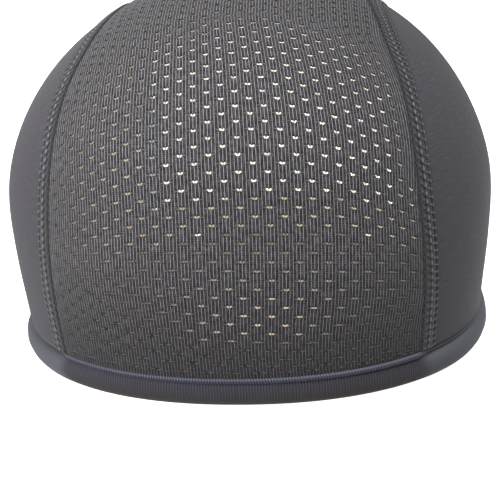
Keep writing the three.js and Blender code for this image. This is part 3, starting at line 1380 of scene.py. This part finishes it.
class Graph:
    """The nodes of one material, round its Principled shader."""

    def __init__(self, name: str, constants: dict[str, Any]) -> None:
        """Makes the material.

        Args:
            name: Its name.
            constants: Values of the shader's own sockets.
        """
        self.material = bpy.data.materials.new(name)
        self.material.use_nodes = True
        self.tree = self.material.node_tree
        self.shader = next(node for node in self.tree.nodes if node.type == "BSDF_PRINCIPLED")
        for socket, value in constants.items():
            self.shader.inputs[socket].default_value = value

    def add(
        self,
        kind: str,
        settings: dict[str, Any] | None = None,
        inputs: dict[int | str, Any] | None = None,
        output: int | str = 0,
    ) -> Wire:
        """Adds a node.

        Args:
            kind: The node's type.
            settings: Its own properties, with stops for a colour ramp as (place, colour) pairs.
            inputs: What goes into its sockets, wires or constants.
            output: The socket that is returned.

        Returns:
            The wire out of it.
        """
        node = self.tree.nodes.new(kind)
        for name, value in (settings or {}).items():
            if name == "stops":
                self._set_stops(node.color_ramp.elements, value)
            else:
                setattr(node, name, value)
        for name, value in (inputs or {}).items():
            self.feed(node.inputs[name], value)
        return Wire(self, node.outputs[output])

    @staticmethod
    def _set_stops(elements: Any, stops: Sequence[tuple[float, Colour]]) -> None:
        """Sets a colour ramp's stops.

        Args:
            elements: The ramp's own stops, two at first.
            stops: The wanted ones, as (place, colour) pairs.
        """
        for _ in range(len(stops) - len(elements)):
            elements.new(0.5)
        for element, (place, colour) in zip(elements, stops):
            element.position = place
            element.color = colour

    def feed(self, socket: bpy.types.NodeSocket, value: Any) -> None:
        """Joins a wire to a socket, or sets the socket to a constant.

        Args:
            socket: The input.
            value: The wire or constant.
        """
        if isinstance(value, Wire):
            self.tree.links.new(value.socket, socket)
        else:
            socket.default_value = value

    def math(self, operation: str, *values: "Wire | float") -> Wire:
        """Adds a Math node."""
        return self.add("ShaderNodeMath", {"operation": operation}, dict(enumerate(values)))

    def mix(self, share: "Wire | float", first: "Wire | Colour", second: "Wire | Colour") -> Wire:
        """Mixes two colours."""
        inputs = {"Factor": share, 6: first, 7: second}
        return self.add("ShaderNodeMix", {"data_type": "RGBA"}, inputs, output=2)

    def cloth(self) -> tuple[Wire, Wire, Wire, Wire]:
        """Reads the mesh's cloth coordinates.

        Returns:
            All three together, and each of them.
        """
        vector = self.add("ShaderNodeAttribute", {"attribute_name": "cloth"}, output="Vector")
        parts = [self.add("ShaderNodeSeparateXYZ", inputs={0: vector}, output=i) for i in range(3)]
        return (vector, *parts)

    def noise(self, vector: Wire, stretch: Sequence[float], detail: float = 2.0) -> Wire:
        """Returns noise from 0 to 1, with a scale for each of the vector's axes."""
        scaled = self.add("ShaderNodeVectorMath", {"operation": "MULTIPLY"}, {0: vector, 1: stretch})
        return self.add("ShaderNodeTexNoise", inputs={"Vector": scaled, "Scale": 1.0, "Detail": detail})

    def ramp(self, value: Wire, *stops: tuple[float, Colour]) -> Wire:
        """Turns a value into a colour."""
        return self.add("ShaderNodeValToRGB", {"stops": stops}, {0: value})

    def finish(
        self, colour: Wire, height: Wire, distance: float, grain: Wire, roughness: tuple[float, float]
    ) -> bpy.types.Material:
        """Joins the colour, the relief and the roughness to the shader.

        Args:
            colour: Goes to the base colour.
            height: Relief from 0 to 1.
            distance: Its height in millimetres.
            grain: What the roughness follows.
            roughness: The roughness where grain is 0 and where it is 1.

        Returns:
            The material.
        """
        least, most = roughness
        self.feed(self.shader.inputs["Base Color"], colour)
        self.feed(self.shader.inputs["Roughness"], grain * (most - least) + least)
        bump = self.add("ShaderNodeBump", inputs={"Distance": distance * MM, "Height": height})
        self.feed(self.shader.inputs["Normal"], bump)
        return self.material


@dataclass(frozen=True)
class PerforatedKnit:
    """Two-legged knit stitches in rows, with painted light and shade after their relief, painted shade in
    the eyelets and near the hems, and paler on the inner face.

    Attributes:
        furrow: Painted shade between the knitted ribs.
        yarn: Of a stitch.
        pale_yarn: Painted highlight on its top.
        near_hem: How much of the furrow's colour the knit has at a hem, as painted shade where the panel
            turns under.
        dark_courses: Courses from a hem over which that fades away.
        pit: Painted shade in an eyelet and in the dimple round it.
        inner: Of the inner face.
        relief: Of the stitches, in millimetres.
        roughness: From least to most, by the grain.
        shares: Of the ribs, of their two legs and of the legs' loops in the relief.
        slant: How far a loop slants over its leg, in courses.
        contrast: How strongly the relief, which paints light and shade, the streaks and the grain change the
            colour.
        dimming: What is taken off their sum.
        pit_edge: How soon the eyelet's painted shade is reached.
        inner_edge: Third cloth coordinate where the inner face's colour begins, and how soon it is reached.
    """

    furrow: Colour = grey(16, 14, 18)
    yarn: Colour = grey(84, 82, 85)
    pale_yarn: Colour = grey(152, 150, 154)
    near_hem: float = 0.55
    dark_courses: float = 56.0
    pit: Colour = grey(30, 25, 23)
    inner: Colour = grey(206, 201, 193)
    relief: float = 0.16
    roughness: tuple[float, float] = (0.83, 0.97)
    shares: tuple[float, float, float] = (0.4, 0.22, 0.38)
    slant: float = 0.8
    contrast: tuple[float, float, float] = (1.75, 1.0, 1.4)
    dimming: float = 0.36
    pit_edge: float = 1.3
    inner_edge: tuple[float, float] = (1.05, 4.0)

    def material(self) -> bpy.types.Material:
        """Builds the finish.

        Returns:
            The material.
        """
        graph = Graph("perforated_knit", {"Specular IOR Level": 0.2, "Sheen Weight": 0.1})
        vector, wale, course, pit = graph.cloth()
        leg = (wale * 2).wave()
        slant = (wale + 0.25).wave() * self.slant
        loop = (course + slant).wave()
        relief = wale.wave() * self.shares[0] + leg * self.shares[1] + leg * loop * self.shares[2]
        streak = graph.noise(vector, (1.0, 0.3, 0.0))
        grain = graph.noise(vector, (4.0, 2.0, 1.0))
        by_relief, by_streak, by_grain = self.contrast
        # painted light and shade: raised stitches pale, furrows dark; the streaks and grain are the yarn's
        # own tone
        light = (relief * by_relief + streak.swing(by_streak) + grain.swing(by_grain) - self.dimming).held()
        # painted shade near both hems, where the panel turns under
        hem_shade = (1 - course / self.dark_courses).held() * self.near_hem
        colour = graph.ramp(light, (0.0, self.furrow), (0.5, self.yarn), (1.0, self.pale_yarn))
        colour = graph.mix(hem_shade, colour, self.furrow)
        # painted shade in the eyelets and the dimples round them
        colour = graph.mix((pit * self.pit_edge).held(), colour, self.pit)
        start, slope = self.inner_edge
        colour = graph.mix(((pit - start) * slope).held(), colour, self.inner)
        return graph.finish(colour, relief, self.relief, grain, self.roughness)


@dataclass(frozen=True)
class Jersey:
    """Smooth stretch jersey with fine level streaks, and a paler inner face.

    Attributes:
        yarn: Its middle colour.
        pale_yarn: Its palest.
        dark_yarn: Its darkest.
        inner: Of the inner face.
        relief: Of the knitted rows, in millimetres.
        roughness: From least to most, by the streaks.
        courses: Knitted rows to a millimetre.
        contrast: How strongly the streaks, the grain and the rows change the colour.
        middle: The sum of them in plain cloth.
    """

    yarn: Colour = grey(71, 69, 75)
    pale_yarn: Colour = grey(90, 88, 95)
    dark_yarn: Colour = grey(50, 48, 54)
    inner: Colour = grey(156, 147, 134)
    relief: float = 0.05
    roughness: tuple[float, float] = (0.75, 0.95)
    courses: float = 1.6
    contrast: tuple[float, float, float] = (1.1, 0.6, 0.1)
    middle: float = 0.45

    def material(self) -> bpy.types.Material:
        """Builds the finish.

        Returns:
            The material.
        """
        graph = Graph("smooth_knit", {"Specular IOR Level": 0.2, "Sheen Weight": 0.1})
        vector, _, height, face = graph.cloth()
        streak = graph.noise(vector, (0.25, 2.2, 0.0), detail=3.0)
        grain = graph.noise(vector, (3.0, 3.0, 0.0))
        course = (height * self.courses).wave()
        by_streak, by_grain, by_course = self.contrast
        light = (streak.swing(by_streak) + grain.swing(by_grain) + course * by_course + self.middle).held()
        colour = graph.ramp(light, (0.0, self.dark_yarn), (0.5, self.yarn), (1.0, self.pale_yarn))
        colour = graph.mix(face, colour, self.inner)
        return graph.finish(colour, course * 0.5 + streak * 0.5, self.relief, streak, self.roughness)


@dataclass(frozen=True)
class SeamThread:
    """Grooves in painted shade, grey threads and painted highlights on them, by the first cloth coordinate.

    Attributes:
        groove: Painted shade between the threads.
        thread: Of a thread.
        thread_highlight: Painted highlight on its palest part.
        relief: Of the yarn's turns, in millimetres.
        roughness: From least to most, by the grain.
        turns: Turns of the yarn to a millimetre, along the seam and across it.
        turn_share: Of the yarn's turns in the relief. The rest is grain.
        mottle: How strongly the grain changes the colour.
    """

    groove: Colour = grey(14, 13, 15)
    thread: Colour = grey(72, 71, 75)
    thread_highlight: Colour = grey(134, 134, 139)
    relief: float = 0.04
    roughness: tuple[float, float] = (0.6, 0.8)
    turns: tuple[float, float] = (2.6, 2.0)
    turn_share: float = 0.6
    mottle: float = 0.25

    def material(self) -> bpy.types.Material:
        """Builds the finish.

        Returns:
            The material.
        """
        graph = Graph("seam_thread", {"Specular IOR Level": 0.3, "Sheen Weight": 0.05})
        vector, tone, along, past = graph.cloth()
        grain = graph.noise(vector, (0.0, 3.0, 3.0))
        turns = (along * self.turns[0] + past * self.turns[1]).wave()
        light = (tone + grain.swing(self.mottle)).held()
        # the ramp paints shade in the grooves and highlights on the threads, with the yarn's own mottle
        colour = graph.ramp(light, (0.05, self.groove), (0.5, self.thread), (1.0, self.thread_highlight))
        relief = turns * self.turn_share + grain * (1 - self.turn_share)
        return graph.finish(colour, relief, self.relief, grain, self.roughness)


@dataclass(frozen=True)
class RibbedKnit:
    """The hem's knit over the crown: ribbed, with painted light and shade, and brownish painted shade at the
    foot; smooth and bluish at the sides.

    Attributes:
        rib: Of a rib.
        furrow: Painted shade between two ribs.
        foot: Of a rib at the foot, as brownish painted shade.
        shade: Painted shade between two ribs at the foot.
        side: Over the side panels.
        inner: Inside the cap.
        relief: Of the ribs, in millimetres.
        roughness: From least to most, by the grain.
        contrast: How strongly the ribs, which paint light and shade, and the grain change the colour.
        middle: The sum of them in a furrow.
        foot_fade: The share of the foot's painted shade in the colour at height 0, and how much less it is
            for each millimetre.
        foot_most: The most that it may be.
        side_mottle: How strongly the grain changes the colour over the sides.
        inner_edge: Third cloth coordinate at which the inner colour begins, and how soon it is reached.
        rib_share: Of the ribs in the relief. The rest is grain.
    """

    rib: Colour = grey(77, 76, 84)
    furrow: Colour = grey(30, 28, 35)
    foot: Colour = grey(54, 43, 41)
    shade: Colour = grey(30, 23, 22)
    side: Colour = grey(88, 91, 99)
    inner: Colour = grey(150, 138, 120)
    relief: float = 0.06
    roughness: tuple[float, float] = (0.7, 0.9)
    contrast: tuple[float, float] = (0.65, 1.1)
    middle: float = 0.15
    foot_fade: tuple[float, float] = (1.55, 0.27)
    foot_most: float = 0.9
    side_mottle: float = 0.5
    inner_edge: tuple[float, float] = (1.2, 3.0)
    rib_share: float = 0.6

    def material(self) -> bpy.types.Material:
        """Builds the finish.

        Returns:
            The material.
        """
        graph = Graph("ribbed_knit", {"Specular IOR Level": 0.2, "Sheen Weight": 0.1})
        vector, rib, height, crown = graph.cloth()
        grain = graph.noise(vector, (2.0, 3.0, 1.0))
        ridge = rib.wave()
        # painted light on the ribs and painted shade between them, with the yarn's own grain
        light = (ridge * self.contrast[0] + grain.swing(self.contrast[1]) + self.middle).held()
        ribbed = graph.mix(light, self.furrow, self.rib)
        # brownish painted shade at the band's foot, where it turns under
        foot = graph.mix(light, self.shade, self.foot)
        foot_share = (self.foot_fade[0] - height * self.foot_fade[1]).held() * self.foot_most
        footed = graph.mix(foot_share, ribbed, foot)
        smooth = graph.mix((grain * self.side_mottle).held(), self.side, self.rib)
        colour = graph.mix(crown.held(), smooth, footed)
        start, slope = self.inner_edge
        colour = graph.mix(((crown - start) * slope).held(), colour, self.inner)
        relief = ridge * crown.held() * self.rib_share + grain * (1 - self.rib_share)
        return graph.finish(colour, relief, self.relief, grain, self.roughness)


@dataclass(frozen=True)
class TwistedEdge:
    """The twisted edge's yarn, bluish, with painted shade in its turns and under its middle, painted light
    on its top, and painted shade in the crease at the sides.

    Attributes:
        strand: Of a strand.
        turn: Painted shade between two strands.
        crease: Painted shade in the crease at the sides.
        relief: Of the grain, in millimetres.
        roughness: From least to most, by the grain.
        middle_height: Height at which a strand has neither painted light nor painted shade.
        contrast: How strongly the turns and the height, which paint light and shade, and the grain change
            the colour.
    """

    strand: Colour = grey(96, 98, 110)
    turn: Colour = grey(34, 34, 52)
    crease: Colour = grey(36, 35, 40)
    relief: float = 0.04
    roughness: tuple[float, float] = (0.6, 0.8)
    middle_height: float = 9.85
    contrast: tuple[float, float, float] = (0.45, 1.4, 0.4)

    def material(self) -> bpy.types.Material:
        """Builds the finish.

        Returns:
            The material.
        """
        graph = Graph("twisted_edge", {"Specular IOR Level": 0.3, "Sheen Weight": 0.05})
        vector, turned, height, crown = graph.cloth()
        grain = graph.noise(vector, (3.0, 3.0, 1.0))
        by_turn, by_height, by_grain = self.contrast
        # painted light on the edge's top and painted shade below its middle
        top_light = (height - self.middle_height) * by_height
        light = (turned * by_turn + top_light + grain.swing(by_grain)).held()
        strands = graph.mix(light, self.turn, self.strand)
        # painted shade in the crease at the sides
        colour = graph.mix(crown, self.crease, strands)
        return graph.finish(colour, grain, self.relief, grain, self.roughness)


@dataclass(frozen=True)
class Floor:
    """The plain pale floor. It glows as a light table does, apart from the part inside the cap, which has a
    painted shadow.

    Attributes:
        colour: Of the open floor.
        shaded: Painted shadow on the part that the cap stands over.
        mouth: Half the width and half the length of that part.
        glow: How strongly the open floor shines.
        size: The floor's side.
        level: Share of it that is level.
        wall: How high the rest is turned up.
        sharp: How sharp the edge of the shaded part is.
    """

    colour: Colour = grey(250, 250, 250)
    shaded: Colour = grey(124, 115, 105)
    mouth: tuple[float, float] = (73.0, 82.0)
    glow: float = 0.9
    size: float = 6000.0
    level: float = 0.98
    wall: float = 1500.0
    sharp: float = 40.0

    def build(self) -> bpy.types.Object:
        """Builds the floor and its finish.

        Returns:
            The floor's object.
        """
        shine = {"Emission Strength": self.glow}
        graph = Graph("studio_floor", {"Roughness": 0.9, "Specular IOR Level": 0.1, **shine})
        vector, *_ = graph.cloth()
        scale = (1 / self.mouth[0], 1 / self.mouth[1], 0.0)
        place = graph.add("ShaderNodeVectorMath", {"operation": "MULTIPLY"}, {0: vector, 1: scale})
        reach = graph.add("ShaderNodeVectorMath", {"operation": "LENGTH"}, {0: place}, output="Value")
        open_floor = ((reach - 1) * self.sharp).held()
        # painted shadow under the cap; the glow is left out there too
        graph.feed(graph.shader.inputs["Base Color"], graph.mix(open_floor, self.shaded, self.colour))
        dark, white = (0.0, 0.0, 0.0, 1.0), (1.0, 1.0, 1.0, 1.0)
        graph.feed(graph.shader.inputs["Emission Color"], graph.mix(open_floor, dark, white))
        lines = self.size / 2 * np.array([-1.0, -self.level, self.level, 1.0])
        x, y = np.meshgrid(lines, lines)
        edge = np.maximum(np.abs(x), np.abs(y)) > lines[2]
        points = np.stack([x, y, np.where(edge, self.wall, 0.0)], -1)
        build = MeshBuilder()
        build.add_grid(build.add_points(points, points))
        floor = build.make("floor", graph.material)
        floor.visible_diffuse = False
        return floor


@dataclass(frozen=True)
class Lamp:
    """A soft rectangular lamp.

    Attributes:
        name: The lamp's name.
        place: Where it stands.
        aim: What it points at.
        size: Its side.
        power: Watts.
        colour: Its linear colour.
        spread: The angle that it lights, in degrees.
    """

    name: str
    place: tuple[float, float, float]
    aim: tuple[float, float, float]
    size: float
    power: float
    colour: tuple[float, float, float] = (1.0, 1.0, 1.0)
    spread: float = 180.0

    def build(self) -> None:
        """Adds the lamp, which the camera doesn't see."""
        light = bpy.data.lights.new(self.name, "AREA")
        light.size = self.size * MM
        light.energy = self.power
        light.color = self.colour
        light.spread = math.radians(self.spread)
        lamp = bpy.data.objects.new(self.name, light)
        place, aim = Vector(self.place) * MM, Vector(self.aim) * MM
        turn = (aim - place).to_track_quat("-Z", "Y").to_matrix().to_4x4()
        lamp.matrix_world = Matrix.Translation(place) @ turn
        lamp.visible_camera = False
        bpy.context.scene.collection.objects.link(lamp)


@dataclass(frozen=True)
class Camera:
    """The photograph's camera.

    Attributes:
        place: Where it stands.
        aim: What it points at.
        lens: Focal length.
        sensor: Width of the sensor.
        roll: How far it leans, in degrees.
        seen: The least and the most distance that it sees, in metres.
    """

    place: tuple[float, float, float] = (44.72, -454.04, 178.64)
    aim: tuple[float, float, float] = (-1.22, -19.0, 26.16)
    lens: float = 98.44
    sensor: float = 36.0
    roll: float = 2.79
    seen: tuple[float, float] = (0.01, 50.0)

    def build(self) -> None:
        """Adds the camera and makes it the scene's."""
        data = bpy.data.cameras.new("camera")
        data.lens = self.lens
        data.sensor_width = self.sensor
        data.clip_start, data.clip_end = self.seen
        camera = bpy.data.objects.new("camera", data)
        back = (Vector(self.place) - Vector(self.aim)).normalized()
        right = Vector((0, 0, 1)).cross(back).normalized()
        up = back.cross(right)
        turn = math.radians(self.roll)
        across = right * math.cos(turn) - up * math.sin(turn)
        over = right * math.sin(turn) + up * math.cos(turn)
        pose = Matrix([(across[i], over[i], back[i], self.place[i] * MM) for i in range(3)] + [(0, 0, 0, 1)])
        camera.matrix_world = pose
        bpy.context.scene.collection.objects.link(camera)
        bpy.context.scene.camera = camera


@dataclass
class Studio:
    """The white studio: floor, lamps and camera."""

    world_light: float = 0.17
    camera: Camera = Camera()
    floor: Floor = Floor()
    lamps: tuple[Lamp, ...] = (
        Lamp("overhead", (470.0, -300.0, 1050.0), (0.0, -20.0, 0.0), 800.0, 11.5),
        Lamp("key", (-480.0, -620.0, 330.0), (0.0, -20.0, 40.0), 500.0, 7.9),
        Lamp("inside", (0.0, -48.0, 26.0), (0.0, 75.0, 38.0), 40.0, 0.165, (1.0, 0.98, 0.95), 110.0),
    )

    def build(self) -> None:
        """Builds the studio."""
        world = bpy.data.worlds.new("studio")
        world.use_nodes = True
        background = next(node for node in world.node_tree.nodes if node.type == "BACKGROUND")
        background.inputs["Color"].default_value = (1.0, 1.0, 1.0, 1.0)
        background.inputs["Strength"].default_value = self.world_light
        bpy.context.scene.world = world
        bpy.context.scene.view_settings.view_transform = "Standard"
        self.floor.build()
        self.camera.build()
        for lamp in self.lamps:
            lamp.build()


@dataclass(frozen=True)
class Cut:
    """What a panel was before it was stretched: its flat size and area, in metres."""

    size: tuple[float, float]
    area: float


@dataclass
class Cap:
    """The whole cap, built piece by piece over the frame's nodes."""

    crown_cut: Cut = Cut((0.124, 0.318), 0.0320)
    side_cut: Cut = Cut((0.105, 0.186), 0.0135)

    def build(self) -> list[bpy.types.Object]:
        """Builds every piece, hangs it on the root body and hides the solids that it stands for.

        Returns:
            The pieces.
        """
        dome = Dome.from_frame()
        route = SeamRoute(dome)
        knit, jersey, thread = PerforatedKnit().material(), Jersey().material(), SeamThread().material()
        panel = CrownPanel(dome, route)
        crown = panel.build(knit)
        self._declare(crown, "perforated_knit", "crown_panel")
        crossing = EyeletThreads(panel).build(knit)
        self._declare(crossing, "perforated_knit")
        hem = Hem(dome)
        band = hem.build_band(RibbedKnit().material())
        self._declare(band, "ribbed_knit", "hem_band")
        twist = hem.build_twist(TwistedEdge().material())
        self._declare(twist, "seam_thread", "hem_piping")
        seams, sheets = [], []
        for side in Side:
            name = side.name.lower()
            seam = Seam(dome, route, side).build(thread)
            self._declare(seam, "seam_thread", f"seam_{name}")
            sheet = SidePanel(dome, route, side).build(jersey)
            self._declare(sheet, "smooth_knit", f"side_panel_{name}")
            seams.append(seam)
            sheets.append(sheet)
        return [crown, crossing, band, twist, *seams, *sheets]

    def _declare(self, piece: bpy.types.Object, slot: str, *nodes: str) -> None:
        """Says where a piece belongs.

        Args:
            piece: The piece.
            slot: Its finish; not used.
            *nodes: The solids that it stands for.
        """
        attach(piece, "root")
        if nodes:
            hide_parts(*nodes)


def main() -> None:
    """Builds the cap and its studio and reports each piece."""
    logging.basicConfig(level=logging.INFO, format="%(name)s %(message)s")
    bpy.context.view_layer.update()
    for piece in Cap().build():
        LOG.info("%s: %d triangles", piece.name, len(piece.data.polygons))
    Studio().build()


if __name__ == "__main__":
    main()
